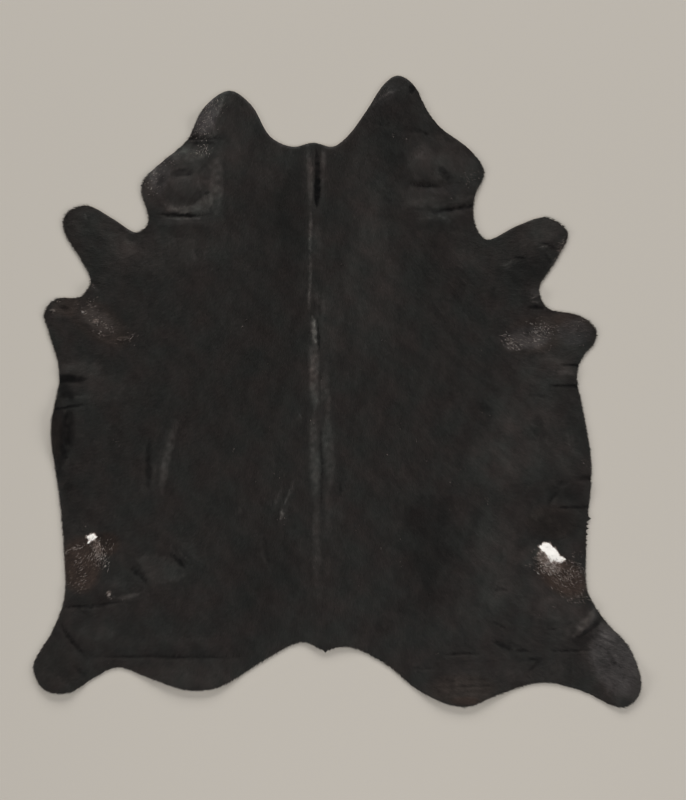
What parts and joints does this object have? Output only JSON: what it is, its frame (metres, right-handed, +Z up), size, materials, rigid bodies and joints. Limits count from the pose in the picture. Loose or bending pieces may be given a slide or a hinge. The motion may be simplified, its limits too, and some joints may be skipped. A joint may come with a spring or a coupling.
{
  "type": "cowhide rug",
  "caption": "Whole natural-edge cowhide laid flat as a floor rug, black short-haired coat up, with neck flaps, leg flaps, a raised backbone line and soft edge folds.",
  "frame": {"origin": "centre of the hide's bounding box, on the floor it lies on", "axes": "+Y towards the neck, +X to the right with the hair side up, +Z up"},
  "size_m": [2.0632, 2.146, 0.0169],
  "materials": {
    "hair_on_leather": "short lying black hair with a soft satin sheen over suede-backed leather"
  },
  "bodies": {
    "root": {"hide": "hair_on_leather"}
  },
  "joints": []
}
